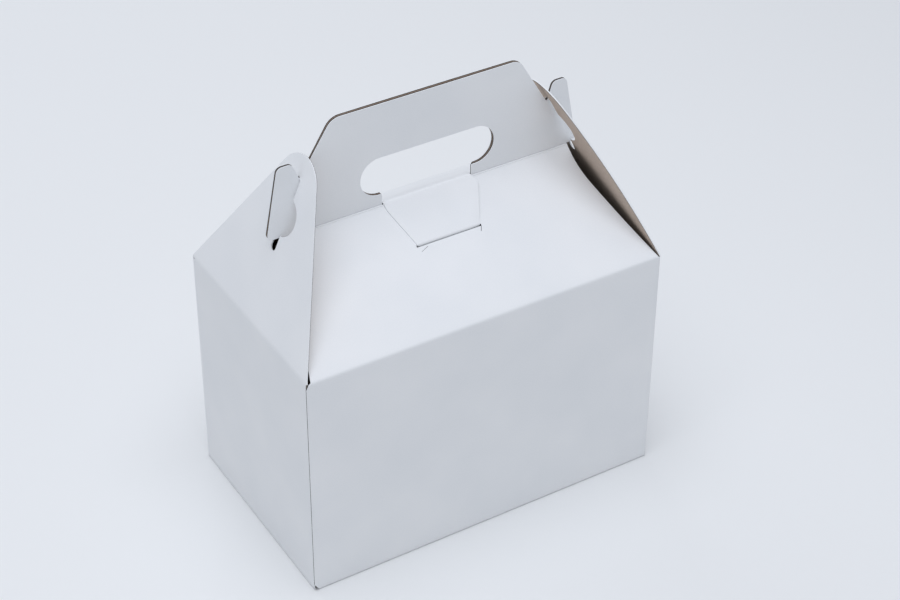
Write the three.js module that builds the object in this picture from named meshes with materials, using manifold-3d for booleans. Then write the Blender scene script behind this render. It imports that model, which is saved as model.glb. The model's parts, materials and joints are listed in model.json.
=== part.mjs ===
// A gable box: one folded and glued sheet of board, with a carry handle over a sloping roof.
// Millimetres, +Z up. X runs along the front wall, Y from the front wall to the rear one,
// and the origin is under the middle of the bottom.

import * as THREE from 'three';
import { mergeVertices } from 'three/addons/utils/BufferGeometryUtils.js';
import Module from 'manifold-3d';

const wasm = await Module();
wasm.setup();

// The board and the clearances between its folds
const BOARD = 0.8;
const LAYER_GAP = 0.6; // between the two handle panels
const FOLD_GAP = 0.3; // between a flap and the piece that it folds from
const SWING_CLEARANCE = 0.5; // round the lock tongue as it swings through the hand hole

// The body
const BOX_LENGTH = 203.2;
const BOX_WIDTH = 121.7;
const WALL_HEIGHT = 133.2;
const GLUE_TAB_WIDTH = 17;

// The roof: how far it rises from the wall to the ridge, and how its ends draw in
const ROOF_RISE = 40.7;
const ROOF_END_AT_WALL = 1.5;
const ROOF_END_AT_RIDGE = 19.4;
const ROOF_END_STRAIGHT = 14.2; // stretch below the ridge where the end runs square to it

// The handle panels above the ridge
const HANDLE_HEIGHT = 58;
const HANDLE_TOP_HALF = 53.3; // half the top edge, up to the corner before it is rounded
const HANDLE_CORNER_RADIUS = 11;
const NOTCH_HEIGHT = 30.7; // from the ridge to the bottom of the end notch
const NOTCH_CENTRE_INSET = 31.4; // from the end of the box to the middle of the notch
const NOTCH_WIDTH = 3;
const NOTCH_CLEARANCE = 1; // from the bottom of the notch to the top of the flap's slot

// The ears outboard of the notches, which the end flaps hook over
const EAR_HEIGHT = 39.6;
const EAR_TOP_INNER_INSET = 27.4; // from the end of the box
const EAR_TOP_OUTER_INSET = 19.5;
const EAR_FOOT_INSET = 12.2;
const EAR_RADIUS = 3.2;

// The hand hole and its neck, which runs down to the ridge
const HAND_HOLE_HALF = 38;
const HAND_HOLE_TOP = 27.9; // above the ridge
const HAND_HOLE_RADIUS = 10.7;
const NECK_HALF = 26.3;

// The lock tongue and the slit that it tucks into
const TONGUE_ROOT_HALF = 25.6;
const TONGUE_STRAIGHT = 4; // how far down the roof the tongue keeps its full width
const TONGUE_TIP_HALF = 17.4;
const TONGUE_ROOT_SETBACK = 0.45; // from its fold forward, so that it clears the rear roof upright
const TONGUE_DIP = 1.9; // length of the tip that bends down into the slit
const TONGUE_DIP_ANGLE = 38;
const SLIT_WIDTH = 2.6;
const SLIT_END_CLEARANCE = 0.8;

// The end flaps: a triangle with a round apex and a keyhole
const APEX_RADIUS = 17.9;
const BRIDGE = 9.8; // from the top of the keyhole slot to the apex
const SLOT_HALF = 2.1;
const SLOT_FOOT_CLEARANCE = 4.4; // from the foot of the ear to the bottom of the slot
const KEYHOLE_RADIUS = 10;
const KEYHOLE_BELOW_NOTCH = 21.3;
const RIGHT_FLAP_BOW = 1.7; // how far the right flap bows out between its fold and the notch

// The snap-lock bottom
const BOTTOM_SLOPE_RUN = 14; // the inner panels rise to their layer over this distance
const REAR_PANEL_DEPTH = 66;
const REAR_TONGUE_DEPTH = 19;
const REAR_TONGUE_HALF = 34;
const REAR_SHOULDER = 24; // how far the corners of the rear panel are cut back
const FRONT_PANEL_DEPTH = 74;
const FRONT_PANEL_TAPER = 6;
const SIDE_PANEL_DEPTH = 52;
const SIDE_PANEL_TAPER = 26;

const ARC_STEPS = 10;
const BOW_STEPS = 12;
const REACH = 400; // longer than any piece, for cutting and profile solids

// Dependent sizes
const HALF_LENGTH = BOX_LENGTH / 2;
const HALF_WIDTH = BOX_WIDTH / 2;
const HANDLE_HALF = LAYER_GAP / 2 + BOARD; // from the middle plane to a handle panel's outer face
const RIDGE = WALL_HEIGHT + ROOF_RISE;
const ROOF_RUN = HALF_WIDTH - HANDLE_HALF;
const ROOF_ANGLE = Math.atan2(ROOF_RISE, ROOF_RUN);
const ROOF_SLOPE = Math.hypot(ROOF_RISE, ROOF_RUN);
const NOTCH_X = HALF_LENGTH - NOTCH_CENTRE_INSET;
const NOTCH_Z = RIDGE + NOTCH_HEIGHT;
const FLAP_LEAN = Math.atan2(HALF_LENGTH - NOTCH_X, NOTCH_Z - WALL_HEIGHT);
const SLOT_TOP = Math.hypot(HALF_LENGTH - NOTCH_X, NOTCH_Z - WALL_HEIGHT) + NOTCH_CLEARANCE;
const SLOT_BOTTOM = Math.hypot(EAR_FOOT_INSET, ROOF_RISE) - SLOT_FOOT_CLEARANCE;
const APEX = SLOT_TOP + BRIDGE;

// The tongue's fold is at the middle of the rear handle panel, level with the ridge.
const TONGUE_PIVOT_Y = HANDLE_HALF - BOARD / 2;
const TONGUE_REACH = HAND_HOLE_TOP - SWING_CLEARANCE;
const SLIT_AT = TONGUE_REACH - TONGUE_PIVOT_Y - HANDLE_HALF; // down the roof from the ridge

const white = new THREE.MeshStandardMaterial({ color: 0xdfe4e8, roughness: 0.6, metalness: 0 });
const whiteFlap = new THREE.MeshStandardMaterial({ color: 0xd2d8dd, roughness: 0.6, metalness: 0 });

// Turns a closed geometry into a solid that can be joined and cut.
function solidOf(geometry) {
  const bare = geometry.clone();
  bare.deleteAttribute('normal');
  bare.deleteAttribute('uv');
  const merged = mergeVertices(bare, 1e-5);
  return new wasm.Manifold(new wasm.Mesh({
    numProp: 3,
    vertProperties: new Float32Array(merged.attributes.position.array),
    triVerts: new Uint32Array(merged.index.array),
  }));
}

// Turns a finished solid into a named mesh.
function meshOf(solid, name, material) {
  const { vertProperties, triVerts } = solid.getMesh();
  const geometry = new THREE.BufferGeometry();
  geometry.setAttribute('position', new THREE.BufferAttribute(vertProperties, 3));
  geometry.setIndex(new THREE.BufferAttribute(triVerts, 1));
  geometry.computeVertexNormals();
  const mesh = new THREE.Mesh(geometry, material);
  mesh.name = name;
  return mesh;
}

// Extrudes an outline by depth along the normal of a plane given by its origin and two directions.
function plate(outline, origin, along, up, depth) {
  const geometry = new THREE.ExtrudeGeometry(outline, {
    depth,
    bevelEnabled: false,
    curveSegments: ARC_STEPS,
  });
  const normal = new THREE.Vector3().crossVectors(along, up);
  geometry.applyMatrix4(new THREE.Matrix4().makeBasis(along, up, normal).setPosition(origin));
  return solidOf(geometry);
}

const vector = (x, y, z) => new THREE.Vector3(x, y, z);
const ALONG_X = vector(1, 0, 0);
const ALONG_Y = vector(0, 1, 0);
const ALONG_Z = vector(0, 0, 1);

// A board of the given thickness along a line of points, to the left of its direction of travel.
function strip(points, thickness) {
  const directions = points.slice(1).map((point, i) => point.clone().sub(points[i]).normalize());
  const offset = points.map((point, i) => {
    const before = directions[Math.max(i - 1, 0)];
    const after = directions[Math.min(i, directions.length - 1)];
    const middle = before.clone().add(after).normalize();
    const reach = thickness / middle.dot(after);
    return new THREE.Vector2(point.x - middle.y * reach, point.y + middle.x * reach);
  });
  return new THREE.Shape([...points, ...offset.reverse()]);
}

// An outline through corners [x, y, radius], each rounded by an arc of its radius.
function roundedOutline(corners) {
  const shape = new THREE.Shape();
  corners.forEach(([x, y, radius], i) => {
    const corner = new THREE.Vector2(x, y);
    const [beforeX, beforeY] = corners[(i + corners.length - 1) % corners.length];
    const [afterX, afterY] = corners[(i + 1) % corners.length];
    const toBefore = new THREE.Vector2(beforeX, beforeY).sub(corner).normalize();
    const toAfter = new THREE.Vector2(afterX, afterY).sub(corner).normalize();
    const halfAngle = Math.acos(THREE.MathUtils.clamp(toBefore.dot(toAfter), -1, 1)) / 2;
    const setback = radius / Math.tan(halfAngle);
    const start = corner.clone().addScaledVector(toBefore, setback);
    const end = corner.clone().addScaledVector(toAfter, setback);
    if (i === 0) shape.moveTo(start.x, start.y);
    else shape.lineTo(start.x, start.y);
    if (radius === 0) return;
    const inward = toBefore.clone().add(toAfter).normalize();
    const centre = corner.clone().addScaledVector(inward, radius / Math.sin(halfAngle));
    const startAngle = Math.atan2(start.y - centre.y, start.x - centre.x);
    const endAngle = Math.atan2(end.y - centre.y, end.x - centre.x);
    const clockwise = toBefore.cross(toAfter) > 0;
    shape.absarc(centre.x, centre.y, radius, startAngle, endAngle, clockwise);
  });
  return shape;
}

const mirrored = (corners) => corners.map(([x, y, radius]) => [-x, y, radius]).reverse();

// A rectangle whose short ends are half circles when the radius is half its height
function roundedBar(halfWidth, bottom, top, radius) {
  return roundedOutline([
    [-halfWidth, bottom, radius],
    [halfWidth, bottom, radius],
    [halfWidth, top, radius],
    [-halfWidth, top, radius],
  ]);
}

// The four walls, as one tube
function walls() {
  const outline = roundedBar(HALF_LENGTH, -HALF_WIDTH, HALF_WIDTH, 0);
  outline.holes.push(roundedBar(HALF_LENGTH - BOARD, BOARD - HALF_WIDTH, HALF_WIDTH - BOARD, 0));
  return plate(outline, vector(0, 0, 0), ALONG_X, ALONG_Y, WALL_HEIGHT);
}

// The glue tab folds from the left wall and lies inside the front wall. It starts inside the
// front wall's board, so that the two are joined as glue joins them.
function glueTab() {
  const outline = roundedOutline([
    [0, 0, 0],
    [GLUE_TAB_WIDTH, GLUE_TAB_WIDTH / 3, 0],
    [GLUE_TAB_WIDTH, WALL_HEIGHT - GLUE_TAB_WIDTH, 0],
    [0, WALL_HEIGHT - GLUE_TAB_WIDTH / 3, 0],
  ]);
  const start = vector(BOARD / 2 - HALF_LENGTH, 2 * BOARD - HALF_WIDTH, 0);
  return plate(outline, start, ALONG_X, ALONG_Z, BOARD * 1.5);
}

// One roof panel: side is -1 at the front and 1 at the rear.
function roofPanel(side) {
  const wallEnd = HALF_LENGTH - ROOF_END_AT_WALL;
  const ridgeEnd = HALF_LENGTH - ROOF_END_AT_RIDGE;
  const half = [
    [wallEnd, 0, 0],
    [ridgeEnd, ROOF_SLOPE - ROOF_END_STRAIGHT, 0],
    [ridgeEnd, ROOF_SLOPE, 0],
  ];
  const outline = roundedOutline([...half, ...mirrored(half)]);
  const up = vector(0, -side * Math.cos(ROOF_ANGLE), Math.sin(ROOF_ANGLE));
  const outward = vector(0, side * Math.sin(ROOF_ANGLE), Math.cos(ROOF_ANGLE));
  const inner = vector(0, side * HALF_WIDTH, WALL_HEIGHT).addScaledVector(outward, -BOARD);
  const along = vector(-side, 0, 0);
  return plate(outline, inner, along, up, BOARD);
}

// The slit in the front roof panel, cut square through the board
function slitCut() {
  const outline = roundedBar(TONGUE_TIP_HALF + SLIT_END_CLEARANCE, -SLIT_WIDTH / 2, SLIT_WIDTH / 2, 0);
  const up = vector(0, Math.cos(ROOF_ANGLE), Math.sin(ROOF_ANGLE));
  const outward = vector(0, -Math.sin(ROOF_ANGLE), Math.cos(ROOF_ANGLE));
  const middle = vector(0, -HANDLE_HALF, RIDGE)
    .addScaledVector(up, -SLIT_AT)
    .addScaledVector(outward, -2 * BOARD);
  return plate(outline, middle, ALONG_X, up, 4 * BOARD);
}

// One handle panel with its hand hole, notches and ears, before it is placed
function handlePanel(side) {
  const earTop = RIDGE + EAR_HEIGHT;
  const notchHalf = NOTCH_WIDTH / 2;
  const top = RIDGE + HANDLE_HEIGHT;
  const foot = RIDGE - BOARD;
  const ridgeEnd = HALF_LENGTH - ROOF_END_AT_RIDGE;
  const half = [
    [ridgeEnd, foot, 0],
    [ridgeEnd, RIDGE, 0],
    [HALF_LENGTH - EAR_FOOT_INSET, RIDGE, EAR_RADIUS],
    [HALF_LENGTH - EAR_TOP_OUTER_INSET, earTop, EAR_RADIUS],
    [HALF_LENGTH - EAR_TOP_INNER_INSET, earTop, EAR_RADIUS],
    [NOTCH_X + notchHalf, NOTCH_Z, 0],
    [NOTCH_X - notchHalf, NOTCH_Z, 0],
    [HANDLE_TOP_HALF, top, HANDLE_CORNER_RADIUS],
  ];
  const outline = roundedOutline([...half, ...mirrored(half)]);
  const outerFace = side * HANDLE_HALF;
  const innerFace = side * LAYER_GAP / 2;
  const start = vector(0, Math.max(outerFace, innerFace), 0);
  return plate(outline, start, ALONG_X, ALONG_Z, BOARD);
}

// The hand hole and its neck, through both handle panels
function handHoleCut() {
  const start = vector(0, REACH / 2, 0);
  const holeTop = RIDGE + HAND_HOLE_TOP;
  const hole = roundedBar(HAND_HOLE_HALF, holeTop - 2 * HAND_HOLE_RADIUS, holeTop, HAND_HOLE_RADIUS);
  const neck = roundedBar(NECK_HALF, RIDGE, holeTop - HAND_HOLE_RADIUS, 0);
  return plate(hole, start, ALONG_X, ALONG_Z, REACH).add(plate(neck, start, ALONG_X, ALONG_Z, REACH));
}

// A bottom panel: its profile rises from the wall's foot to its layer, cut to its outline.
function bottomPanel(layer, outline, fold, inward) {
  const level = layer * BOARD;
  const points = [
    new THREE.Vector2(0, 0),
    new THREE.Vector2(BOTTOM_SLOPE_RUN, level),
    new THREE.Vector2(REACH / 2, level),
  ];
  const along = new THREE.Vector3().crossVectors(inward, ALONG_Z);
  const start = fold.clone().addScaledVector(along, -REACH / 2);
  const board = plate(strip(points, BOARD), start, inward, ALONG_Z, REACH);
  const below = fold.clone().addScaledVector(ALONG_Z, -BOARD);
  return board.intersect(plate(outline, below, along, inward, REACH));
}

function bottom() {
  const frontHalf = [
    [HALF_LENGTH - BOARD / 2, 0, 0],
    [HALF_LENGTH - FRONT_PANEL_TAPER, FRONT_PANEL_DEPTH, 0],
    [REAR_TONGUE_HALF + SLIT_WIDTH, FRONT_PANEL_DEPTH, 0],
    [REAR_TONGUE_HALF, FRONT_PANEL_DEPTH - REAR_TONGUE_DEPTH / 2, 0],
  ];
  const rearHalf = [
    [HALF_LENGTH - BOARD / 2, 0, 0],
    [HALF_LENGTH - FRONT_PANEL_TAPER, REAR_PANEL_DEPTH - REAR_SHOULDER, 0],
    [REAR_TONGUE_HALF + REAR_SHOULDER, REAR_PANEL_DEPTH, 0],
    [REAR_TONGUE_HALF, REAR_PANEL_DEPTH, 0],
    [REAR_TONGUE_HALF - FRONT_PANEL_TAPER, REAR_PANEL_DEPTH + REAR_TONGUE_DEPTH, 0],
  ];
  const sideHalf = [
    [HALF_WIDTH - BOARD / 2, 0, 0],
    [HALF_WIDTH - SIDE_PANEL_TAPER, SIDE_PANEL_DEPTH, 0],
  ];
  const front = bottomPanel(
    2, roundedOutline([...frontHalf, ...mirrored(frontHalf)]),
    vector(0, -HALF_WIDTH + BOARD / 2, 0), vector(0, 1, 0));
  const rear = bottomPanel(
    0, roundedOutline([...rearHalf, ...mirrored(rearHalf)]),
    vector(0, HALF_WIDTH - BOARD / 2, 0), vector(0, -1, 0));
  const sides = [-1, 1].map((side) => bottomPanel(
    1, roundedOutline([...sideHalf, ...mirrored(sideHalf)]),
    vector(side * (HALF_LENGTH - BOARD / 2), 0, 0), vector(-side, 0, 0)));
  return sides.reduce((joined, panel) => joined.add(panel), front.add(rear));
}

// The body of the blank, as one solid
function carton() {
  const handles = handlePanel(-1).add(handlePanel(1)).subtract(handHoleCut());
  const roofs = roofPanel(-1).add(roofPanel(1)).subtract(slitCut());
  return walls().add(glueTab()).add(roofs).add(handles).add(bottom());
}

// Points along an end flap from its fold, as seen from the front at the right end. The chord to
// the notch is fixed, and a bow makes the line an arc that stands proud of that chord.
function flapLine(bow) {
  const chordTurn = 2 * Math.atan2(2 * bow, SLOT_TOP); // half of the arc's turn up to the notch
  const points = [];
  for (let i = 0; i <= BOW_STEPS; i += 1) {
    const share = i / BOW_STEPS * (APEX / SLOT_TOP);
    const heading = chordTurn === 0 ? 0 : chordTurn * (1 - share);
    const length = chordTurn === 0
      ? share * SLOT_TOP
      : SLOT_TOP * Math.sin(chordTurn * share) / Math.sin(chordTurn);
    const lean = FLAP_LEAN - heading;
    points.push(new THREE.Vector2(
      HALF_LENGTH - length * Math.sin(lean),
      WALL_HEIGHT + length * Math.cos(lean),
    ));
  }
  return points;
}

// The flap's outline: straight sides from the fold that run into the round apex
function flapOutline(foldGap) {
  const centre = APEX - APEX_RADIUS;
  const toCentre = Math.hypot(HALF_WIDTH, centre);
  const sideAngle = Math.atan2(centre, -HALF_WIDTH) - Math.asin(APEX_RADIUS / toCentre);
  const arcStart = sideAngle - Math.PI / 2;
  const shape = new THREE.Shape();
  const baseHalf = HALF_WIDTH + foldGap / Math.tan(sideAngle);
  shape.moveTo(-baseHalf, foldGap);
  shape.lineTo(baseHalf, foldGap);
  shape.absarc(0, centre, APEX_RADIUS, arcStart, Math.PI - arcStart, false);
  shape.closePath();
  return shape;
}

// One end flap: side is -1 at the left and 1 at the right.
function endFlap(side, bow) {
  const start = vector(0, REACH / 2, 0);
  const profile = strip(flapLine(bow), BOARD);
  const board = plate(profile, start, ALONG_X, ALONG_Z, REACH);
  const up = vector(-Math.sin(FLAP_LEAN), 0, Math.cos(FLAP_LEAN));
  const outward = vector(Math.cos(FLAP_LEAN), 0, Math.sin(FLAP_LEAN));
  const fold = vector(HALF_LENGTH, 0, WALL_HEIGHT).addScaledVector(outward, -REACH / 2);
  const foldGap = FOLD_GAP / Math.cos(FLAP_LEAN) + BOARD * Math.tan(FLAP_LEAN);
  const column = plate(flapOutline(foldGap), fold, ALONG_Y, up, REACH);
  const slot = roundedBar(SLOT_HALF, SLOT_BOTTOM, SLOT_TOP, SLOT_HALF);
  const keyhole = new THREE.Shape();
  keyhole.absarc(0, SLOT_TOP - KEYHOLE_BELOW_NOTCH, KEYHOLE_RADIUS, 0, 2 * Math.PI);
  const cut = plate(slot, fold, ALONG_Y, up, REACH).add(plate(keyhole, fold, ALONG_Y, up, REACH));
  const flap = board.intersect(column).subtract(cut);
  return side > 0 ? flap : flap.mirror([1, 0, 0]);
}

// The lock tongue: over the ridge, down the front roof and into the slit
function lockTongue() {
  const lift = FOLD_GAP; // the tongue's underside lies this far off the roof
  const rootY = TONGUE_PIVOT_Y - TONGUE_ROOT_SETBACK;
  const liftedRidge = RIDGE + lift / Math.cos(ROOF_ANGLE);
  const downRoof = new THREE.Vector2(-Math.cos(ROOF_ANGLE), -Math.sin(ROOF_ANGLE));
  const dipAngle = ROOF_ANGLE + THREE.MathUtils.degToRad(TONGUE_DIP_ANGLE);
  const dip = new THREE.Vector2(-Math.cos(dipAngle), -Math.sin(dipAngle));
  const ridgePoint = new THREE.Vector2(-HANDLE_HALF, liftedRidge);
  const bendPoint = ridgePoint.clone().addScaledVector(downRoof, SLIT_AT - TONGUE_DIP / 2);
  const points = [
    bendPoint.clone().addScaledVector(dip, 2 * TONGUE_DIP),
    bendPoint,
    ridgePoint,
    new THREE.Vector2(rootY, liftedRidge),
  ];
  const board = plate(strip(points, BOARD), vector(-REACH / 2, 0, 0), ALONG_Y, ALONG_Z, REACH);
  const taperStart = -HANDLE_HALF - TONGUE_STRAIGHT * Math.cos(ROOF_ANGLE);
  const taperEnd = -HANDLE_HALF - SLIT_AT * Math.cos(ROOF_ANGLE);
  const plan = new THREE.Shape([
    new THREE.Vector2(-TONGUE_ROOT_HALF, TONGUE_PIVOT_Y),
    new THREE.Vector2(-TONGUE_ROOT_HALF, taperStart),
    new THREE.Vector2(-TONGUE_TIP_HALF, taperEnd),
    new THREE.Vector2(-TONGUE_TIP_HALF, -REACH / 2),
    new THREE.Vector2(TONGUE_TIP_HALF, -REACH / 2),
    new THREE.Vector2(TONGUE_TIP_HALF, taperEnd),
    new THREE.Vector2(TONGUE_ROOT_HALF, taperStart),
    new THREE.Vector2(TONGUE_ROOT_HALF, TONGUE_PIVOT_Y),
  ].reverse());
  const column = plate(plan, vector(0, 0, 0), ALONG_X, ALONG_Y, REACH);
  const reach = new THREE.CylinderGeometry(TONGUE_REACH, TONGUE_REACH, REACH, 96);
  reach.rotateZ(Math.PI / 2);
  reach.translate(0, TONGUE_PIVOT_Y, RIDGE);
  return board.intersect(column).intersect(solidOf(reach));
}

const gableBox = new THREE.Group();
gableBox.name = 'gable_box';
gableBox.add(meshOf(carton(), 'carton', white));
gableBox.add(meshOf(endFlap(-1, 0), 'left_end_flap', whiteFlap));
gableBox.add(meshOf(endFlap(1, RIGHT_FLAP_BOW), 'right_end_flap', whiteFlap));
gableBox.add(meshOf(lockTongue(), 'lock_tongue', white));

export default gableBox;
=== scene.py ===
import json
import logging
import math
from dataclasses import dataclass, field
from enum import Enum
from typing import Callable, ClassVar, Sequence

import bpy
import numpy as np
from mathutils import Matrix, Vector


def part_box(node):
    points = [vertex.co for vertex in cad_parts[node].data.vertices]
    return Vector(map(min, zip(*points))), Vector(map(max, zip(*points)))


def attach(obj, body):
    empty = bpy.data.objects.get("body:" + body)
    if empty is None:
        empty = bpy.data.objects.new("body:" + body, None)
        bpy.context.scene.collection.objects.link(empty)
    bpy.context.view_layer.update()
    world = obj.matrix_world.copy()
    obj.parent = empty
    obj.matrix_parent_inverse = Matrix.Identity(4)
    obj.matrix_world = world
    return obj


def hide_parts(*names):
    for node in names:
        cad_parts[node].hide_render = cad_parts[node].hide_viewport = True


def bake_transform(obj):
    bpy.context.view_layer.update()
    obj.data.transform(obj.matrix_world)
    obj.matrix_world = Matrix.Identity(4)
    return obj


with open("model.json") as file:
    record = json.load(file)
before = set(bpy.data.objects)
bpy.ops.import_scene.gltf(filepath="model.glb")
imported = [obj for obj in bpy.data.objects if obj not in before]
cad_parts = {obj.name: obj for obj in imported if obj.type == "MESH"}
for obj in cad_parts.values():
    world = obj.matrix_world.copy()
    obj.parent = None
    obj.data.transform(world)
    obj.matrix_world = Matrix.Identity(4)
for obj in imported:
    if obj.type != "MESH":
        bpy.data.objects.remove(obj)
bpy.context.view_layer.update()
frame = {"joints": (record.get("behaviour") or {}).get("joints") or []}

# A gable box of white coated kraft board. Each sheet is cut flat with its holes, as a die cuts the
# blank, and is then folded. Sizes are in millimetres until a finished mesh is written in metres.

logging.basicConfig(level=logging.INFO, format="%(message)s")
log = logging.getLogger("gable_box")

MM = 0.001
Point = tuple[float, float]  # across and up, on the flat sheet
Corner = tuple[float, float, float]  # across, up and corner radius, on the flat sheet
Plane = tuple[Vector, Vector]  # a point and the normal


def joint_place(name: str) -> Vector:
    """Gives the place of a joint of the frame, in millimetres.

    Args:
        name: The joint's name in the frame.

    Returns:
        A point on its axis.
    """
    joint = next(joint for joint in frame["joints"] if joint["name"] == name)
    return Vector(joint["pos_m"]) / MM


@dataclass(frozen=True)
class BoxSizes:
    """The sizes that the sheets share. The outer ones come from the frame."""

    half_length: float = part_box("carton")[1][0] / MM
    half_width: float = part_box("carton")[1][1] / MM
    top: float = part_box("carton")[1][2] / MM
    wall_height: float = joint_place("left_flap_fold").z
    ridge: float = joint_place("tongue_fold").z
    board: float = 0.8
    layer_gap: float = 0.6
    fold_radius: float = 0.9
    seam_flange: float = 2.6  # how far a front or rear wall wraps onto the end wall
    fold_step: float = 0.2  # how far from a fold the outline of the next panel starts
    climb_run: float = 14.0  # how far in from the wall a bottom panel has climbed onto the ones inside it
    climb_radius: float = 6.0
    notch_inset: float = 31.4  # from the box's end to the notch in a handle panel
    notch_height: float = 30.7  # from the ridge to the notch's foot
    tongue_root: Point = (25.4, 24.7)  # left and right halves: it was cut a little off square
    tongue_strip: float = 1.5  # how far down the rear roof the tongue's own sheet starts

    @property
    def handle_half(self) -> float:
        """From the middle plane to a handle panel's outer face."""
        return self.layer_gap / 2 + self.board

    @property
    def roof_angle(self) -> float:
        """The roof's slope in degrees."""
        return math.degrees(math.atan2(self.ridge - self.wall_height, self.half_width - self.handle_half))

    @property
    def roof_slope(self) -> float:
        """The length of a roof panel, from the wall to the ridge."""
        return math.hypot(self.ridge - self.wall_height, self.half_width - self.handle_half)


class Face(Enum):
    """The three kinds of surface on cut board, by material index."""

    COATED = 0
    KRAFT = 1
    CUT = 2


# Finishes


def linear(hex_colour: str) -> tuple[float, float, float, float]:
    """Turns an sRGB hex colour into a linear one.

    Args:
        hex_colour: The colour as #rrggbb.

    Returns:
        Its linear red, green and blue, and full alpha.
    """
    channels = [int(hex_colour[i:i + 2], 16) / 255 for i in (1, 3, 5)]
    turned = [c / 12.92 if c <= 0.04045 else ((c + 0.055) / 1.055) ** 2.4 for c in channels]
    return (*turned, 1.0)


def add_node(material: bpy.types.Material, kind: str, settings: dict | None = None,
             inputs: dict | None = None) -> bpy.types.Node:
    """Adds one shader node.

    Args:
        material: The material that gets the node.
        kind: Blender's name of the node's type.
        settings: Values of the node's own properties.
        inputs: For each input, a value or the output socket that feeds it.

    Returns:
        The new node.
    """
    node = material.node_tree.nodes.new(kind)
    for name, value in (settings or {}).items():
        setattr(node, name, value)
    for name, value in (inputs or {}).items():
        if isinstance(value, bpy.types.NodeSocket):
            material.node_tree.links.new(value, node.inputs[name])
        else:
            node.inputs[name].default_value = value
    return node


def colour_ramp(node: bpy.types.Node, stops: Sequence[tuple[float, str]]) -> None:
    """Sets a colour ramp's stops.

    Args:
        node: The colour ramp node.
        stops: Each stop's place from 0 to 1 and its sRGB hex colour.
    """
    elements = node.color_ramp.elements
    while len(elements) < len(stops):
        elements.new(0.5)
    for element, (place, colour) in zip(elements, stops):
        element.position = place
        element.color = linear(colour)


@dataclass(frozen=True)
class Finish:
    """One surface of the board."""

    name: str
    light: str
    dark: str
    roughness: float
    specular: float
    grain_mm: float  # size of the fibre flecks
    grain_depth_mm: float
    stretch: float = 1.0  # how long the flecks are along the grain
    cloud_mm: float = 30.0  # size of the broad clouds of tone
    cloud_share: float = 0.5

    def make(self) -> bpy.types.Material:
        """Builds the node material on the sheet's own flat coordinates.

        Returns:
            The material.
        """
        material = bpy.data.materials.new(self.name)
        material.use_nodes = True
        shader = material.node_tree.nodes["Principled BSDF"]
        shader.inputs["Roughness"].default_value = self.roughness
        shader.inputs["Specular IOR Level"].default_value = self.specular
        flat = add_node(material, "ShaderNodeUVMap", {"uv_map": "blank"}).outputs["UV"]
        stretched = add_node(material, "ShaderNodeMapping", inputs={
            "Vector": flat, "Scale": (1.0, 1.0 / self.stretch, 1.0)}).outputs["Vector"]
        # The blank's coordinates are in metres, so one over the fleck's size in metres is its scale.
        fleck = add_node(material, "ShaderNodeTexNoise", inputs={
            "Vector": stretched, "Scale": 1 / (self.grain_mm * MM), "Detail": 4.0, "Roughness": 0.6})
        cloud = add_node(material, "ShaderNodeTexNoise", inputs={
            "Vector": flat, "Scale": 1 / (self.cloud_mm * MM), "Detail": 2.0})
        tone = add_node(material, "ShaderNodeMix", {"data_type": "FLOAT"}, {
            "Factor": self.cloud_share, "A": fleck.outputs["Fac"], "B": cloud.outputs["Fac"]})
        ramp = add_node(material, "ShaderNodeValToRGB", inputs={"Fac": tone.outputs["Result"]})
        colour_ramp(ramp, [(0.35, self.dark), (0.65, self.light)])
        material.node_tree.links.new(ramp.outputs["Color"], shader.inputs["Base Color"])
        bump = add_node(material, "ShaderNodeBump", inputs={
            "Height": fleck.outputs["Fac"], "Distance": self.grain_depth_mm * MM, "Strength": 1.0})
        material.node_tree.links.new(bump.outputs["Normal"], shader.inputs["Normal"])
        return material


# Clay coating on bleached liner, smooth with a low sheen and hardly any grain
COATING = Finish(
    "clay_coated_liner", "#f0f1f2", "#e9ebed", roughness=0.5, specular=0.35, grain_mm=0.7,
    grain_depth_mm=0.006, cloud_mm=45, cloud_share=0.6)
# Unbleached kraft liner, matt brown with long darker fibres
KRAFT = Finish(
    "kraft_liner", "#cdbdaf", "#b6a596", roughness=0.85, specular=0.2, grain_mm=0.5,
    grain_depth_mm=0.03, stretch=5.0, cloud_share=0.35)
# Edge left by the cutting die: the board's own brown, darkened nearly to black with painted shade for the
# shade in the open flute ends and in the gaps along the edges
CUT_EDGE_PAINTED_SHADE = Finish(
    "cut_board_edge_painted_shade", "#282423", "#151312", roughness=0.9, specular=0.1, grain_mm=0.9,
    grain_depth_mm=0.08, cloud_share=0.2)


# Cutting and folding


def select_only(piece: bpy.types.Object) -> None:
    """Deselects everything, then selects one object and makes it active.

    Args:
        piece: The object.
    """
    bpy.ops.object.select_all(action="DESELECT")
    piece.select_set(True)
    bpy.context.view_layer.objects.active = piece


def apply_modifier(piece: bpy.types.Object, kind: str, settings: dict) -> None:
    """Adds a modifier and applies it.

    Args:
        piece: The object.
        kind: The modifier's type.
        settings: Values of the modifier's properties.
    """
    select_only(piece)
    modifier = piece.modifiers.new(kind.lower(), kind)
    for name, value in settings.items():
        setattr(modifier, name, value)
    bpy.ops.object.modifier_apply(modifier=modifier.name)


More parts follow.
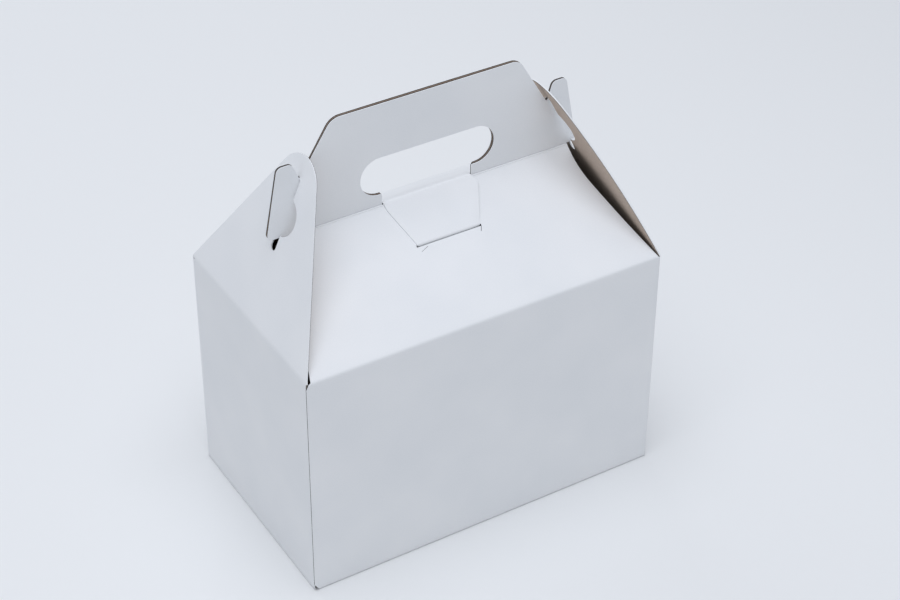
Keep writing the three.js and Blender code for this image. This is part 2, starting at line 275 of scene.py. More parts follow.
def rounded(corners: Sequence[Corner], steps: int = 10) -> list[Point]:
    """Rounds the corners of an outline.

    Args:
        corners: The corners in order, each with its radius.
        steps: The segments in each rounded corner.

    Returns:
        The outline's points.
    """
    points: list[Point] = []
    for i, (x, y, radius) in enumerate(corners):
        here = np.array((x, y))
        if radius == 0:
            points.append((x, y))
            continue
        before = np.array(corners[i - 1][:2]) - here
        after = np.array(corners[(i + 1) % len(corners)][:2]) - here
        before, after = before / np.linalg.norm(before), after / np.linalg.norm(after)
        half = math.acos(np.clip(before @ after, -1, 1)) / 2
        inward = (before + after) / np.linalg.norm(before + after)
        centre = here + inward * radius / math.sin(half)
        start = here + before * radius / math.tan(half) - centre
        turn = math.copysign(math.pi - 2 * half, -(before[0] * after[1] - before[1] * after[0]))
        for step in range(steps + 1):
            angle = turn * step / steps
            c, s = math.cos(angle), math.sin(angle)
            points.append(tuple(centre + (c * start[0] - s * start[1], s * start[0] + c * start[1])))
    return points


def arc_points(centre: Point, radius: float, start: float, end: float, steps: int) -> list[Point]:
    """Gives the points of an arc.

    Args:
        centre: The arc's centre.
        radius: Its radius.
        start: The angle where it starts, in radians.
        end: The angle where it ends.
        steps: The number of its segments.

    Returns:
        One point more than there are segments.
    """
    angles = [start + (end - start) * step / steps for step in range(steps + 1)]
    return [(centre[0] + radius * math.cos(angle), centre[1] + radius * math.sin(angle)) for angle in angles]


def mirrored(corners: Sequence[Corner]) -> list[Corner]:
    """Gives the same corners on the other side, in the order that closes an outline."""
    return [(-x, y, radius) for x, y, radius in reversed(corners)]


def die_block(points: Sequence[Point], planes: Sequence[Plane]) -> bpy.types.Object:
    """Makes a block with the outline's shape, thick enough to cut through the flat sheet.

    Args:
        points: The outline's points.
        planes: Where the block's sides are divided, so that the cut edges can bend with the sheet.

    Returns:
        The block, which the caller removes.
    """
    depth = 20.0  # far more than the board, so that both ends stand clear of it
    bpy.ops.object.select_all(action="DESELECT")
    bpy.ops.mesh.primitive_circle_add(vertices=len(points), fill_type="NGON")
    block = bpy.context.object
    face = block.data.polygons[0]
    for index, (x, y) in zip(face.vertices, points):
        block.data.vertices[index].co = (x, y, -depth / 2)
    bpy.ops.object.mode_set(mode="EDIT")
    bpy.ops.mesh.select_all(action="SELECT")
    bpy.ops.mesh.extrude_region_move(TRANSFORM_OT_translate={"value": (0, 0, depth)})
    bpy.ops.mesh.select_all(action="SELECT")
    bpy.ops.mesh.normals_make_consistent(inside=False)
    low, high = np.array(points).min(axis=0), np.array(points).max(axis=0)
    for place, normal in planes:
        point = np.array(place.xy)
        if normal.z or ((low < point) & (point < high)).any():
            bpy.ops.mesh.select_all(action="SELECT")
            bpy.ops.mesh.bisect(plane_co=place, plane_no=normal)
    bpy.ops.object.mode_set(mode="OBJECT")
    return block


def cut(sheet: bpy.types.Object, points: Sequence[Point], planes: Sequence[Plane],
        keep: bool) -> None:
    """Cuts the flat sheet with one outline.

    Args:
        sheet: The flat sheet.
        points: The outline's points.
        planes: Where the cut edges are divided.
        keep: Whether what lies inside the outline stays. If not, it falls out.
    """
    block = die_block(points, planes)
    operation = "INTERSECT" if keep else "DIFFERENCE"
    apply_modifier(sheet, "BOOLEAN", {"object": block, "operation": operation, "solver": "EXACT"})
    bpy.data.objects.remove(block)


@dataclass(frozen=True)
class Crease:
    """A fold across the sheet, or a long gentle curve if its radius is large."""

    at: float  # the middle of the fold, along the flat sheet
    turn: float  # degrees, positive turns the sheet away from the box's middle
    radius: float
    short_steps: ClassVar[int] = 6  # the cross lines that a fold needs to look round
    long_steps: ClassVar[int] = 16  # the same for a long gentle curve
    long_band: ClassVar[float] = 20.0

    @property
    def band(self) -> float:
        """The length of flat sheet that the fold takes up."""
        return 2 * self.radius * math.tan(math.radians(abs(self.turn)) / 2)

    def lines(self) -> list[float]:
        """Where the sheet needs cross lines to bend smoothly here."""
        steps = self.short_steps if self.band < self.long_band else self.long_steps
        return [self.at + self.band * (i / steps - 0.5) for i in range(steps + 1)]


@dataclass
class Route:
    """The line that a sheet follows when it is folded, in a plane of inward distance and height."""

    creases: Sequence[Crease]
    anchor: float  # a place on the flat sheet whose folded place and heading are known
    place: tuple[float, float]
    heading: float = 90.0

    def follow(self, up: np.ndarray, lift: np.ndarray) -> tuple[np.ndarray, np.ndarray]:
        """Folds points.

        Args:
            up: Each point's place along the flat sheet.
            lift: Each point's distance outwards from the sheet's outer face.

        Returns:
            The points' inward distances and heights.
        """
        low, high = up.min() - 1, up.max() + 1
        even_marks, crease_marks = 400, 41
        in_creases = [np.linspace(c.at - c.band / 2, c.at + c.band / 2, crease_marks) for c in self.creases]
        marks = np.unique(np.concatenate([np.linspace(low, high, even_marks), *in_creases, [self.anchor]]))
        angle = np.full(len(marks), 0.0)
        pace = np.ones(len(marks) - 1)
        middle = (marks[1:] + marks[:-1]) / 2
        for c in self.creases:
            angle += c.turn * np.clip((marks - c.at) / c.band + 0.5, 0, 1)
            inside = np.abs(middle - c.at) < c.band / 2
            pace[inside] *= c.radius * math.radians(abs(c.turn)) / c.band
        angle += self.heading - np.interp(self.anchor, marks, angle)
        mean = np.radians((angle[1:] + angle[:-1]) / 2)
        step = np.diff(marks) * pace
        inward = np.concatenate([[0], np.cumsum(step * np.cos(mean))])
        height = np.concatenate([[0], np.cumsum(step * np.sin(mean))])
        inward += self.place[0] - np.interp(self.anchor, marks, inward)
        height += self.place[1] - np.interp(self.anchor, marks, height)
        outward = np.radians(np.interp(up, marks, angle) + 90)
        return (np.interp(up, marks, inward) + lift * np.cos(outward),
                np.interp(up, marks, height) + lift * np.sin(outward))


def wrap_corner(across: np.ndarray, lift: np.ndarray, corner: float, radius: float,
                which: np.ndarray) -> tuple[np.ndarray, np.ndarray]:
    """Turns what lies past a vertical corner of the box by a right angle, inwards.

    Args:
        across: Each point's place across the flat sheet, on the positive side.
        lift: Each point's distance outwards from the sheet's outer face.
        corner: Where the sharp corner would be.
        radius: The corner's outer radius.
        which: Which points may wrap.

    Returns:
        The points' new places across and distances outwards.
    """
    turn = np.clip((across - corner) / (2 * radius) + 0.5, 0, 1) * math.pi / 2
    past = np.maximum(across - corner - radius, 0)
    sideways = corner - radius + (radius + lift) * np.sin(turn)
    outwards = -radius + (radius + lift) * np.cos(turn) - past
    wraps = which & (across > corner - radius)
    return np.where(wraps, sideways, across), np.where(wraps, outwards, lift)


def smooth_step(value: np.ndarray) -> np.ndarray:
    """Rises smoothly from 0 to 1 as the value goes from 0 to 1."""
    value = np.clip(value, 0, 1)
    return value * value * (3 - 2 * value)


Warp = Callable[[np.ndarray, np.ndarray], np.ndarray]  # from places across and up to a lift outwards


@dataclass
class Sheet:
    """A flat sheet of board that is cut, creased and folded into its place."""

    name: str
    sizes: BoxSizes
    outline: Sequence[Point]
    route: Route
    holes: Sequence[Sequence[Point]] = ()
    cell: float = 4.0  # the grid's spacing where the sheet is flat
    margin: float = 1.7  # how far the uncut sheet reaches past the outline
    up_lines: Sequence[float] = ()  # where the grid gets further lines up the sheet
    liner: float = 0.3  # depth to which the cutting rule pulls the white liner over the edge
    warp: Warp | None = None
    wrap_corners: dict[int, float] = field(default_factory=dict)  # side to the place of its corner
    wrap_radius: float = 0.9
    wrap_below: float = 0.0  # only what is lower on the flat sheet wraps
    flat_share: ClassVar[float] = 0.7  # a face is on the sheet's front or back if its normal is steeper
    smooth_below: ClassVar[float] = 32.0  # degrees between faces that shade as one surface

    def lines(self, low: float, high: float, extra: Sequence[float]) -> np.ndarray:
        """Gives the grid's lines one way: even ones, and the extra ones with nothing close beside them.

        Args:
            low: The first line.
            high: The last line.
            extra: Lines that must be there.

        Returns:
            All the lines in order.
        """
        even = np.linspace(low, high, max(2, round((high - low) / self.cell)) + 1)
        extra = np.array(sorted(x for x in extra if low < x < high))
        if len(extra):
            gap = np.abs(even[:, None] - extra[None, :]).min(axis=1)
            even = even[(gap > self.cell / 4) | (even == low) | (even == high)]
        return np.unique(np.round(np.concatenate([even, extra]), 4))

    def grid_lines(self) -> tuple[np.ndarray, np.ndarray]:
        """Places the grid's lines, with those that the creases and wrapped corners need.

        Returns:
            The places across and the places up the sheet.
        """
        points = np.array(self.outline)
        low, high = points.min(axis=0) - self.margin, points.max(axis=0) + self.margin
        crease_lines = [line for crease in self.route.creases for line in crease.lines()]
        corner_lines = [side * (corner + self.wrap_radius * (i / 3 - 1))
                        for side, corner in self.wrap_corners.items() for i in range(7)]
        return (self.lines(low[0], high[0], corner_lines),
                self.lines(low[1], high[1], [*crease_lines, *self.up_lines]))

    def edge_planes(self) -> list[Plane]:
        """Finds where the cut edges are divided.

        Returns:
            The planes at the liner's depth and at the grid's lines.
        """
        across, up = self.grid_lines()
        return [(Vector((0, 0, -self.liner)), Vector((0, 0, 1))),
                *[(Vector((x, 0, 0)), Vector((1, 0, 0))) for x in across[1:-1]],
                *[(Vector((0, y, 0)), Vector((0, 1, 0))) for y in up[1:-1]]]

    def lay_flat(self) -> bpy.types.Object:
        """Makes the uncut sheet as a grid with its creases' lines, and gives it its thickness.

        Returns:
            The uncut sheet.
        """
        across, up = self.grid_lines()
        bpy.ops.object.select_all(action="DESELECT")
        bpy.ops.mesh.primitive_grid_add(
            x_subdivisions=len(across) - 1, y_subdivisions=len(up) - 1, size=2, location=(0, 0, 0))
        sheet = bpy.context.object
        sheet.name = sheet.data.name = self.name
        for vertex in sheet.data.vertices:
            column = round((vertex.co.x + 1) / 2 * (len(across) - 1))
            row = round((vertex.co.y + 1) / 2 * (len(up) - 1))
            vertex.co = (across[column], up[row], 0)
        apply_modifier(sheet, "SOLIDIFY", {"thickness": self.sizes.board, "offset": -1})
        return sheet

    def mark_faces(self, sheet: bpy.types.Object) -> None:
        """Sorts the cut sheet's faces into coated, kraft and cut ones, and keeps its flat places.

        Args:
            sheet: The flat cut sheet.
        """
        layer = sheet.data.uv_layers.new(name="blank")
        for polygon in sheet.data.polygons:
            rise = polygon.normal.z
            face = Face.CUT
            if rise > self.flat_share or abs(rise) <= self.flat_share and polygon.center.z > -self.liner:
                face = Face.COATED
            elif rise < -self.flat_share:
                face = Face.KRAFT
            polygon.material_index = face.value
            for corner in polygon.loop_indices:
                place = sheet.data.vertices[sheet.data.loops[corner].vertex_index].co
                along = place.z if face is Face.CUT else 0.0
                layer.data[corner].uv = ((place.x + along) * MM, (place.y + along) * MM)

    def fold(self, sheet: bpy.types.Object, direction: Point) -> None:
        """Folds the cut sheet into its place.

        Args:
            sheet: The flat cut sheet.
            direction: The horizontal direction that points into the box, as (1, 0) for a left wall.
        """
        count = len(sheet.data.vertices)
        flat = np.empty(count * 3)
        sheet.data.vertices.foreach_get("co", flat)
        across, up, lift = flat.reshape(-1, 3).T
        if self.warp is not None:
            lift = lift + self.warp(across, up)
        for side, corner in self.wrap_corners.items():
            turned, lift = wrap_corner(
                side * across, lift, corner, self.wrap_radius, up < self.wrap_below)
            across = side * turned
        inward, height = self.route.follow(up, lift)
        into_x, into_y = direction
        along_x, along_y = into_y, -into_x
        placed = np.stack([inward * into_x + across * along_x,
                           inward * into_y + across * along_y, height], axis=1)
        sheet.data.vertices.foreach_set("co", (placed * MM).ravel())
        sheet.data.update()

    def build(self, direction: Point, finishes: Sequence[bpy.types.Material]) -> bpy.types.Object:
        """Cuts, folds and dresses the sheet.

        Args:
            direction: The horizontal direction that points into the box.
            finishes: The coated, kraft and cut materials.

        Returns:
            The finished piece.
        """
        sheet = self.lay_flat()
        planes = self.edge_planes()
        cut(sheet, self.outline, planes, keep=True)
        for hole in self.holes:
            cut(sheet, hole, planes, keep=False)
        self.mark_faces(sheet)
        self.fold(sheet, direction)
        for finish in finishes:
            sheet.data.materials.append(finish)
        select_only(sheet)
        bpy.ops.object.shade_smooth_by_angle(angle=math.radians(self.smooth_below))
        return sheet


# The box's sheets


class Side(Enum):
    """Which long side a sheet is on."""

    FRONT = 1
    REAR = -1


@dataclass
class LongSheet:
    """A long side of the blank: bottom panel, wall, roof panel and handle panel in one sheet."""

    sizes: BoxSizes
    side: Side
    roof_end_at_wall: float = 1.5
    roof_end_at_ridge: float = 19.4
    roof_end_straight: float = 14.2
    roof_end_radius: float = 60.0
    handle_top_half: float = 52.5
    handle_radius: float = 8.6
    notch_width: float = 1.0
    notch_radius: float = 0.4
    ear_foot: float = 0.4  # from the ridge up to the ear's foot
    ear_height: float = 39.6
    ear_inner_inset: float = 27.4
    ear_outer_inset: float = 19.5
    ear_foot_inset: float = 12.2
    ear_radius: float = 3.2
    hole_half: float = 38.0
    hole_top: float = 27.9
    hole_radius: float = 10.7
    neck_left: float = 26.0
    neck_right: float = 25.0
    neck_radius: float = 0.8
    rear_neck_relief: float = 1.2  # extra width of the rear neck, so that the tongue swings through it
    slit_half: float = 17.9
    slit_at: float = 25.3  # down the roof from the ridge to the slit's upper lip
    slit_width: float = 1.1
    slit_overcut: float = 1.2  # how much further the slit reaches at the left
    tear_width: float = 0.35  # the small tear below the slit's right end
    tear: Point = (-1.3, -2.6)  # from the slit's end to the tear's end
    scratch_start: Point = (-13.4, -0.9)  # from the middle of the slit's lower lip
    scratch_end: Point = (-17.8, -2.7)
    strip_gap: Point = (0.08, 0.1)  # beside and below the strip that the tongue's own sheet starts with
    seam_relief: float = 0.9  # extra inset of the roof's end above the glue seam
    ear_shift: float = 1.6  # the right ears sit nearer the middle, pulled in by the bowed flap
    bow: float = 0.3  # how far each handle panel bows out in the middle
    bow_half: float = 75.0
    pinch: float = 0.2  # how far each handle panel is pressed in at the ears
    pinch_from: float = 45.0
    droop: float = 1.5  # how far the roof's ends hang in
    droop_reach: float = 26.0
    bead: float = 0.33  # height of the pressed crease along the ridge, and depth of the groove above it
    bead_below: float = 0.4  # from the ridge down to the crease's middle
    groove_above: float = 0.3
    bead_half: float = 0.25
    roof_fold_radius: float = 2.2
    ridge_fold_radius: float = 0.6
    liner: float = 0.35

    @property
    def wall_top(self) -> float:
        """Where the roof folds from the wall, on the flat sheet."""
        return self.sizes.wall_height

    @property
    def ridge(self) -> float:
        """Where the handle panel folds from the roof, on the flat sheet."""
        return self.sizes.wall_height + self.sizes.roof_slope

    def upper_half(self, seam: bool, shift: float) -> list[Corner]:
        """Gives one half's outline from the roof's foot to the handle's top, as a right half.

        Args:
            seam: Whether this end is above the glue seam.
            shift: How far the ear sits nearer the middle. The rest follows it by a share.

        Returns:
            The corners, from the roof's foot up.
        """
        length, ridge = self.sizes.half_length, self.ridge
        top = ridge + self.sizes.top - self.sizes.ridge
        ridge_end = length - self.roof_end_at_ridge
        notch = length - self.sizes.notch_inset - 0.7 * shift
        notch_foot = ridge + self.sizes.notch_height - shift / 2
        ear_foot, ear_top = ridge + self.ear_foot, ridge + self.ear_height
        foot = self.roof_end_at_wall + (self.seam_relief if seam else 0)
        return [
            (length - foot, self.wall_top + self.sizes.fold_step, 0),
            (ridge_end, ridge - self.roof_end_straight, self.roof_end_radius),
            (ridge_end, ear_foot, 0),
            (length - self.ear_foot_inset - shift, ear_foot, self.ear_radius),
            (length - self.ear_outer_inset - shift, ear_top, self.ear_radius),
            (length - self.ear_inner_inset - shift, ear_top, self.ear_radius),
            (notch + self.notch_width / 2, notch_foot, self.notch_radius),
            (notch - self.notch_width / 2, notch_foot, self.notch_radius),
            (self.handle_top_half - 0.3 * shift, top, self.handle_radius - 0.7 * shift),
        ]

    def wall_half(self, seam: bool) -> list[Corner]:
        """Gives one half's outline of the wall, as a right half.

        Args:
            seam: Whether the wall stops here at the glue seam, with its corners cut off a little. Elsewhere
                it wraps onto the end wall.

        Returns:
            The corners, from the bottom up.
        """
        # The corners step in a little where three folds meet, as a die cuts them.
        length, top = self.sizes.half_length, self.wall_top
        if seam:
            return [(length - 2.4, 0.4, 0), (length, 4.2, 0), (length, top - 3.4, 0),
                    (length - 1.3, top - 0.3, 0)]
        end = length + self.sizes.seam_flange
        return [(length - 1.2, 0.5, 0), (end, 0.7, 0), (end, top - 0.5, 0), (length - 0.9, top - 0.3, 0)]

    def bottom_half(self) -> list[Corner]:
        """Gives the right half's outline of the bottom panel, with the lock that holds the rear panel.

        Returns:
            The corners, from the panel's middle to the wall.
        """
        # The front panel's recess is 64.5 deep and its legs 74. The rear panel's tongue reaches to 85.
        edge = self.sizes.half_length - 6
        if self.side is Side.FRONT:
            return [(34.0, -64.5, 1.0), (36.6, -74.0, 1.0), (edge, -74.0, 2.0)]
        return [(28.0, -85.0, 4.0), (34.0, -66.0, 0), (58.0, -66.0, 3.0), (edge, -42.0, 2.0)]

    def outline(self) -> list[Point]:
        """Gives the whole outline. The glue seam is at the front sheet's left end.

        Returns:
            The outline's points.
        """
        seam = self.side is Side.FRONT
        right = [*self.bottom_half(), *self.wall_half(False), *self.upper_half(False, self.ear_shift)]
        left = [*self.bottom_half(), *self.wall_half(seam), *self.upper_half(seam, 0.0)]
        return rounded([*right, *mirrored(left)] if seam else [*left, *mirrored(right)])

    def holes(self) -> list[list[Point]]:
        """Gives the hand hole with its neck, and what else is cut out of this side.

        Returns:
            The holes' outlines. The front has the slit with its tear and a scratch, and the rear has the
            place of the strip that the tongue's own sheet starts with.
        """
        top = self.ridge + self.hole_top
        low = top - 2 * self.hole_radius
        half, radius = self.hole_half, self.hole_radius - 0.01  # two round ends that don't quite touch
        first, second = self.neck_left, self.neck_right
        if self.side is Side.REAR:
            first, second = self.neck_right + self.rear_neck_relief, self.neck_left
        hole = rounded([
            (-first, self.ridge, 0), (second, self.ridge, 0), (second, low, self.neck_radius),
            (half, low, radius), (half, top, radius),
            (-half, top, radius), (-half, low, radius), (-first, low, self.neck_radius)])
        if self.side is Side.REAR:
            left, right = self.sizes.tongue_root
            beside, below = self.strip_gap
            foot, over = self.ridge - self.sizes.tongue_strip - below, self.ridge + 0.1
            return [hole, [(-right - beside, foot), (left + beside, foot),
                           (left + beside, over), (-right - beside, over)]]
        high, low = self.ridge - self.slit_at, self.ridge - self.slit_at - self.slit_width
        left, right, tear = -self.slit_half - self.slit_overcut, self.slit_half, self.tear_width
        slip, drop = self.tear
        slit = [(left, low), (right - tear, low), (right - tear + slip, low + drop),
                (right + slip, low + drop), (right, low), (right, high), (left, high)]
        (start, near), (end, far) = self.scratch_start, self.scratch_end
        scratch = [(start, low + near - tear / 2), (end, low + far - tear / 2), (end, low + far),
                   (start, low + near)]
        return [hole, slit, scratch]

    def route(self) -> Route:
        """Gives the folds from the bottom panel to the handle.

        Returns:
            The sheet's route. The front bottom panel climbs over the other panels, so it bends up.
        """
        sizes = self.sizes
        level = 2 * sizes.board if self.side is Side.FRONT else 0.0
        rise = math.degrees(math.atan2(level, sizes.climb_run))
        lean = 90 - sizes.roof_angle
        creases = [
            Crease(0, -90 - rise, sizes.fold_radius),
            Crease(self.wall_top, -lean, self.roof_fold_radius),
            Crease(self.ridge, lean, self.ridge_fold_radius),
        ]
        if level:
            creases.append(Crease(-sizes.climb_run, rise, sizes.climb_radius))
        return Route(creases, anchor=sizes.wall_height / 2, place=(-sizes.half_width, sizes.wall_height / 2))

    def warp(self, across: np.ndarray, up: np.ndarray) -> np.ndarray:
        """Gives how far the board stands out of its folded planes.

        Args:
            across: Each point's place across the flat sheet.
            up: Each point's place up the flat sheet.

        Returns:
            Each point's lift outwards.
        """
        on_handle = smooth_step((up - self.ridge) / 25)
        handle = self.bow * on_handle * np.clip(1 - (across / self.bow_half) ** 2, 0, 1)
        handle -= self.pinch * on_handle * smooth_step((np.abs(across) - self.pinch_from) / 20)
        handle += self.bead * np.exp(-((up - self.ridge + self.bead_below) / self.bead_half) ** 2)
        handle -= self.bead * np.exp(-((up - self.ridge - self.groove_above) / self.bead_half) ** 2)
        in_roof = np.clip((up - self.wall_top) / self.sizes.roof_slope, 0, 1)
        span = np.sin(math.pi * in_roof)
        # The roof's end runs in by about 18 from the wall to the ridge.
        end = self.sizes.half_length - self.roof_end_at_wall - 18 * in_roof
        from_end = np.clip(1 - (end - np.abs(across)) / self.droop_reach, 0, 1.2)
        return handle - self.droop * span * from_end ** 2

    def build(self, finishes: Sequence[bpy.types.Material]) -> bpy.types.Object:
        """Builds the sheet as one piece that stays with the carton's body.

        Args:
            finishes: The coated, kraft and cut materials.

        Returns:
            The finished piece.
        """
        corner = self.sizes.half_length
        wraps = {1: corner} if self.side is Side.FRONT else {1: corner, -1: corner}
        sheet = Sheet(
            name=f"{self.side.name.lower()}_sheet", sizes=self.sizes, outline=self.outline(),
            route=self.route(), holes=self.holes(), warp=self.warp, liner=self.liner,
            up_lines=[self.ridge + 0.1 * step for step in range(-9, 10)],  # fine enough for the bead
            wrap_corners=wraps, wrap_below=self.wall_top - self.sizes.fold_step)
        piece = sheet.build((0, self.side.value), finishes)
        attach(piece, "carton")
        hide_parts("carton")
        return piece


class End(Enum):
    """Which end of the box a sheet is on: the value is the way into the box along X."""

    LEFT = 1
    RIGHT = -1


@dataclass
class EndSheet:
    """An end of the blank: side bottom panel, end wall and keyhole flap in one sheet."""

    sizes: BoxSizes
    end: End
    apex_radius: float = 17.6
    bridge: float = 10.5
    notch_clearance: float = 0.3
    slot_half: float = 2.1
    slot_bottom: float = 38.1
    keyhole_radius: float = 10.0
    keyhole_below_notch: float = 21.3
    fold_softness: float = 9.0  # radius of the left flap's fold, which was never pressed hard
    right_bow: float = 1.7  # how far the right flap bows outward
    right_fold_radius: float = 5.0
    glue_tab: float = 17.0
    tab_gap: float = 0.05  # between the glue tab and the wall that it is glued to
    tab_fold_radius: float = 0.25
    bottom_depth: float = 52.0
    bottom_half: float = 34.5
    liner: float = 0.65
    fold_reach: float = 2.5  # how far below and above its fold the board takes part in the flap's turn

    @property
    def rise(self) -> float:
        """The height of the notches in the handle panels above the flap's fold."""
        return self.sizes.ridge + self.sizes.notch_height - self.sizes.wall_height

    @property
    def slot_top(self) -> float:
        """The length of the flap from its fold to the top of its slot."""
        return math.hypot(self.sizes.notch_inset, self.rise) + self.notch_clearance

    @property
    def lean(self) -> float:
        """How far the flap's chord leans into the box, in degrees."""
        return math.degrees(math.atan2(self.sizes.notch_inset, self.rise))

    @property
    def tab_corner(self) -> float:
        """Where the glue tab folds from the wall, across the flat sheet."""
        return self.sizes.half_width - self.sizes.board - self.tab_gap

    def outline(self) -> list[Point]:
        """Gives the end sheet's outline: bottom panel, wall and flap with its round apex.

        Returns:
            The outline's points.
        """
        half, base = self.sizes.half_width, self.sizes.wall_height
        wall_half = half - self.sizes.seam_flange
        centre = base + self.slot_top + self.bridge - self.apex_radius
        reach = math.hypot(half, centre - base)
        side_angle = math.atan2(centre - base, -half) - math.asin(self.apex_radius / reach)
        start = side_angle - math.pi / 2
        arc = arc_points((0, centre), self.apex_radius, start, math.pi - start, 28)
        side = [(wall_half, 0.6), (wall_half, base - 0.35)]
        tab = side
        if self.end is End.LEFT:
            corner = self.tab_corner
            edge = corner + self.glue_tab
            tab = [(corner - 0.4, 0.6), (corner - 0.2, 4.0), (edge, 6.5), (edge, base - 17),
                   (corner, base - 4), (corner, base - 0.35)]
        foot = [(self.bottom_half, -self.bottom_depth), (half - 1.0, -0.2), (half - 1.0, 0.5)]
        head = [(half - 0.25, base - 0.25), (half - 0.25, base + 0.25)]
        other = [*foot, *side, *head]
        return [*foot, *tab, *head, *arc, *[(-x, y) for x, y in reversed(other)]]

    def holes(self) -> list[list[Point]]:
        """Gives the keyhole: a slot with a round hole across it.

        Returns:
            Its one outline.
        """
        base = self.sizes.wall_height
        low, high = base + self.slot_bottom, base + self.slot_top
        centre = high - self.keyhole_below_notch - self.notch_clearance
        meet = math.acos(self.slot_half / self.keyhole_radius)
        quarter, end = math.pi / 2, self.slot_half
        right = arc_points((0, centre), self.keyhole_radius, -meet, meet, 24)
        top = arc_points((0, high - end), end, 0, quarter, 6)[:-1]
        foot = arc_points((0, low + end), end, -quarter, 0, 6)[1:]
        half = [*foot, *right, *top]
        return [[(0, low), *half, (0, high), *[(-x, y) for x, y in reversed(half)]]]

    def route(self) -> Route:
        """Gives the folds from the bottom panel to the flap.

        Returns:
            The sheet's route. The right flap has a harder fold and then bows outward.
        """
        sizes = self.sizes
        rise = math.degrees(math.atan2(sizes.board, sizes.climb_run))
        creases = [Crease(-sizes.climb_run, rise, sizes.climb_radius),
                   Crease(0, -90 - rise, sizes.fold_radius)]
        if self.end is End.LEFT:
            creases.append(Crease(sizes.wall_height, -self.lean, self.fold_softness))
        else:
            turn = 4 * math.degrees(math.atan2(2 * self.right_bow, self.slot_top))
            radius = self.slot_top / (2 * math.tan(math.radians(turn) / 2))
            creases.append(Crease(sizes.wall_height, -self.lean + turn / 2, self.right_fold_radius))
            creases.append(Crease(sizes.wall_height + self.slot_top / 2 + 3, -turn, radius))
        return Route(creases, anchor=sizes.wall_height / 2, place=(-sizes.half_length, sizes.wall_height / 2))

    def build(self, finishes: Sequence[bpy.types.Material]) -> bpy.types.Object:
        """Builds the sheet, creased at its fold between the wall and the flap.

        Args:
            finishes: The coated, kraft and cut materials.

        Returns:
            The finished piece.
        """
        name = self.end.name.lower()
        wraps = {1: self.tab_corner} if self.end is End.LEFT else {}
        sheet = Sheet(
            name=f"{name}_end_sheet", sizes=self.sizes, outline=self.outline(), route=self.route(),
            holes=self.holes(), liner=self.liner, wrap_corners=wraps, wrap_radius=self.tab_fold_radius,
            wrap_below=self.sizes.wall_height - self.sizes.fold_step)
        piece = sheet.build((self.end.value, 0), finishes)
        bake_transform(piece)
        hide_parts(f"{name}_end_flap")
        return piece


@dataclass
class LockTongue:
    """The tab cut from the rear handle panel, folded over the ridge and tucked into the slit."""

    sizes: BoxSizes
    flare: Point = (25.2, 26.6)  # left and right halves where its sides start to slant
    tip: Point = (18.6, 17.2)
    flare_at: float = 4.0
    slit_at: float = 25.2  # from the front ridge to where its tip dips into the slit
    dip: float = 2.2  # length of the tip
    dip_angle: float = 75.0
    dip_radius: float = 0.3
    rear_fold_radius: float = 0.5
    front_fold_radius: float = 1.6
    fold_reach: Point = (1.2, 0.8)  # behind and before its fold, the board that takes part in its turn
    lift: float = 0.12  # how far it stays above the ridge
    liner: float = 0.78  # nearly the board's thickness: its edges are crushed white
    curl: Point = (0.12, 0.5)  # how far its left and right sides stand off the roof
    rounding: float = 0.4  # how far its crushed side edges drop

    def build(self, finishes: Sequence[bpy.types.Material]) -> bpy.types.Object:
        """Builds the tongue, creased at its fold on the rear ridge.

        Args:
            finishes: The coated, kraft and cut materials.

        Returns:
            The finished piece.
        """
        sizes = self.sizes
        over = 2 * sizes.handle_half
        bend = over + self.slit_at
        # Folded toward the front, the sheet's own right is the box's left.
        root, strip = sizes.tongue_root, sizes.tongue_strip
        halves = [[(root[i], -strip, 0), (root[i], over, 0),
                   (self.flare[i], over + self.flare_at, 1.0),
                   (self.tip[i], bend, 0), (self.tip[i] - 0.5, bend + self.dip, 0.3)] for i in (0, 1)]
        outline = rounded([*halves[0], *mirrored(halves[1])])
        creases = [Crease(0, -sizes.roof_angle, self.rear_fold_radius),
                   Crease(over, -sizes.roof_angle, self.front_fold_radius),
                   Crease(bend, -self.dip_angle, self.dip_radius)]
        route = Route(creases, anchor=over / 2, place=(0, sizes.ridge + self.lift), heading=0.0)
        sheet = Sheet(
            name="lock_tongue_sheet", sizes=sizes, outline=outline, route=route, cell=1.2, liner=self.liner,
            warp=self.warp)
        piece = sheet.build((0, -1), finishes)
        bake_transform(piece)
        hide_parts("lock_tongue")
        return piece

    def warp(self, across: np.ndarray, up: np.ndarray) -> np.ndarray:
        """Gives how the tongue climbs onto the front roof, and how its sides stand off it or lie down.

        Args:
            across: Each point's place across the flat sheet.
            up: Each point's place up the flat sheet.

        Returns:
            Each point's lift outwards.
        """
        start = 2 * self.sizes.handle_half + self.flare_at
        down = np.clip((up - start) / (self.slit_at - self.flare_at), 0, 1)
        rise = self.sizes.board * smooth_step((up + 0.4) / 2.6)
        on_roof = smooth_step((up - 3) / 6)
        # How far each point is from the tongue's slanted left and right edges
        left = self.flare[0] + (self.tip[0] - self.flare[0]) * down - across
        right = self.flare[1] + (self.tip[1] - self.flare[1]) * down + across
        curl = self.curl[0] * smooth_step((across - 8) / 14) + self.curl[1] * smooth_step((-across - 8) / 10)
        curl *= smooth_step((27 - up) / 8)
        drop = self.rounding * (smooth_step(1 - left / 1.5) + 0.4 * smooth_step(1 - right / 4))
        return rise + on_roof * (curl - drop)


# Studio


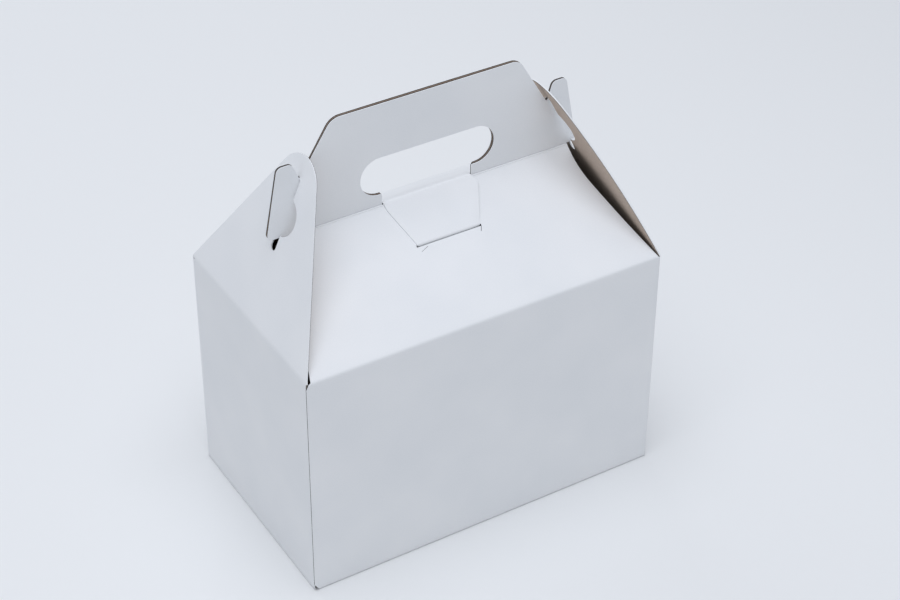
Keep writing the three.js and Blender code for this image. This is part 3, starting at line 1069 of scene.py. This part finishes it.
@dataclass(frozen=True)
class Softbox:
    """A square area light that faces a point. Its places and size are in metres."""

    name: str
    place: tuple[float, float, float]
    target: tuple[float, float, float]
    size: float
    watts: float
    colour: str = "#f4f7fe"

    def hang(self) -> None:
        """Makes the light."""
        light = bpy.data.lights.new(self.name, "AREA")
        light.size = self.size
        light.energy = self.watts
        light.color = linear(self.colour)[:3]
        softbox = bpy.data.objects.new(self.name, light)
        bpy.context.scene.collection.objects.link(softbox)
        softbox.location = self.place
        facing = Vector(self.target) - Vector(self.place)
        softbox.rotation_euler = facing.to_track_quat("-Z", "Y").to_euler()


@dataclass
class Studio:
    """A pale floor, soft light and the camera at the photo's angle. Its places are in metres."""

    floor_colour: str = "#edeeee"
    sky_colour: str = "#e6eaf2"
    sky_strength: float = 0.57
    overhead: Softbox = Softbox("overhead", (-0.2, -0.28, 1.7), (0, -0.1, 0.1), 1.4, 15.9)
    behind: Softbox = Softbox("behind", (0.0, 1.25, 0.8), (0, 0, 0.1), 1.0, 2.6)
    camera_place: tuple[float, float, float] = (-0.4577, -0.7708, 0.7769)
    camera_right: tuple[float, float, float] = (0.85520, -0.51827, 0.00566)
    camera_up: tuple[float, float, float] = (0.30693, 0.51520, 0.80023)
    lens: float = 87.34
    sensor: float = 36.0

    def build(self) -> None:
        """Makes the floor, the lights, the world and the camera."""
        self.lay_floor()
        self.hang_lights()
        self.place_camera()
        bpy.context.scene.view_settings.view_transform = "Standard"

    def lay_floor(self) -> None:
        """Makes the pale matt floor."""
        bpy.ops.object.select_all(action="DESELECT")
        bpy.ops.mesh.primitive_plane_add(size=12, location=(0, 0, -0.0001))
        floor = bpy.context.object
        floor.name = "floor"
        material = bpy.data.materials.new("pale_floor")
        material.use_nodes = True
        shader = material.node_tree.nodes["Principled BSDF"]
        shader.inputs["Base Color"].default_value = linear(self.floor_colour)
        shader.inputs["Roughness"].default_value = 0.9
        shader.inputs["Specular IOR Level"].default_value = 0.1
        floor.data.materials.append(material)

    def hang_lights(self) -> None:
        """Makes a broad softbox overhead, a weak one behind the box and an even sky."""
        self.overhead.hang()
        self.behind.hang()
        world = bpy.data.worlds.new("studio")
        world.use_nodes = True
        background = world.node_tree.nodes["Background"]
        background.inputs["Color"].default_value = linear(self.sky_colour)
        background.inputs["Strength"].default_value = self.sky_strength
        bpy.context.scene.world = world

    def place_camera(self) -> None:
        """Puts the camera where the photo was taken from."""
        data = bpy.data.cameras.new("camera")
        data.lens = self.lens
        data.sensor_width = self.sensor
        data.clip_start, data.clip_end = 0.01, 50
        camera = bpy.data.objects.new("camera", data)
        bpy.context.scene.collection.objects.link(camera)
        right, up = Vector(self.camera_right), Vector(self.camera_up)
        turned = Matrix((right, up, right.cross(up))).transposed().to_4x4()
        camera.matrix_world = Matrix.Translation(Vector(self.camera_place)) @ turned
        bpy.context.scene.camera = camera


def main() -> None:
    """Builds the studio and every sheet in order."""
    sizes = BoxSizes()
    Studio().build()
    finishes = [finish.make() for finish in (COATING, KRAFT, CUT_EDGE_PAINTED_SHADE)]
    parts = [LongSheet(sizes, Side.FRONT), LongSheet(sizes, Side.REAR),
             EndSheet(sizes, End.LEFT), EndSheet(sizes, End.RIGHT), LockTongue(sizes)]
    for part in parts:
        piece = part.build(finishes)
        log.info("%s: %d faces", piece.name, len(piece.data.polygons))


if __name__ == "__main__":
    main()
